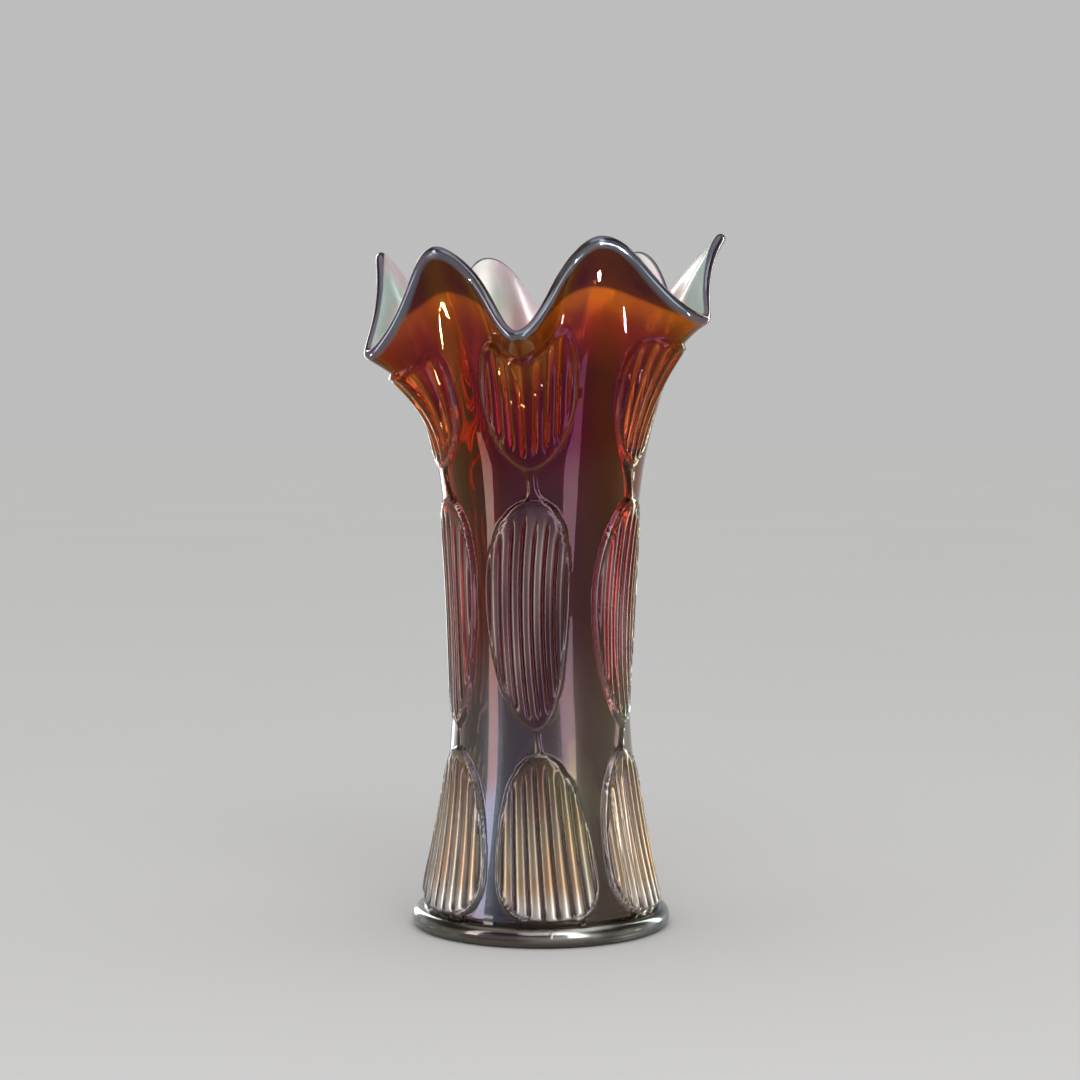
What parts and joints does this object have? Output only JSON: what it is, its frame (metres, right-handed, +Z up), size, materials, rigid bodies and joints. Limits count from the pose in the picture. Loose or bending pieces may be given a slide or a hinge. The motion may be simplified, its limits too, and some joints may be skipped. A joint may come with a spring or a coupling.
{
  "type": "carnival glass vase",
  "caption": "Tall waisted glass vase with raised ribbed ovals, a rounded foot ring and a flared ruffled lip; holds cut flowers in water.",
  "frame": {"origin": "middle of the foot's underside, on the vase's axis, level with the surface that it stands on", "axes": "+Z up along the vase's axis; -Y towards the viewer of the picture's front; +X to that viewer's right"},
  "size_m": [0.1362, 0.1374, 0.2658],
  "materials": {
    "foot_glass": "dark smoky glass, glossy",
    "column_glass": "maroon to smoky grey glass, iridescent",
    "flare_glass": "deep amber glass, iridescent",
    "lip_glass": "steel-blue iridescent edge, glossy",
    "lower_oval_glass": "pale smoky glass with silver and gold sheen"
  },
  "bodies": {
    "root": {"foot_ring": "foot_glass", "base_floor": "foot_glass", "mould_seams": "foot_glass", "column_wall": "column_glass", "tie_ridges": "column_glass", "flared_wall": "flare_glass", "lip_bead": "lip_glass", "lower_ovals": "lower_oval_glass", "middle_ovals": "column_glass", "upper_ovals": "flare_glass"}
  },
  "joints": []
}
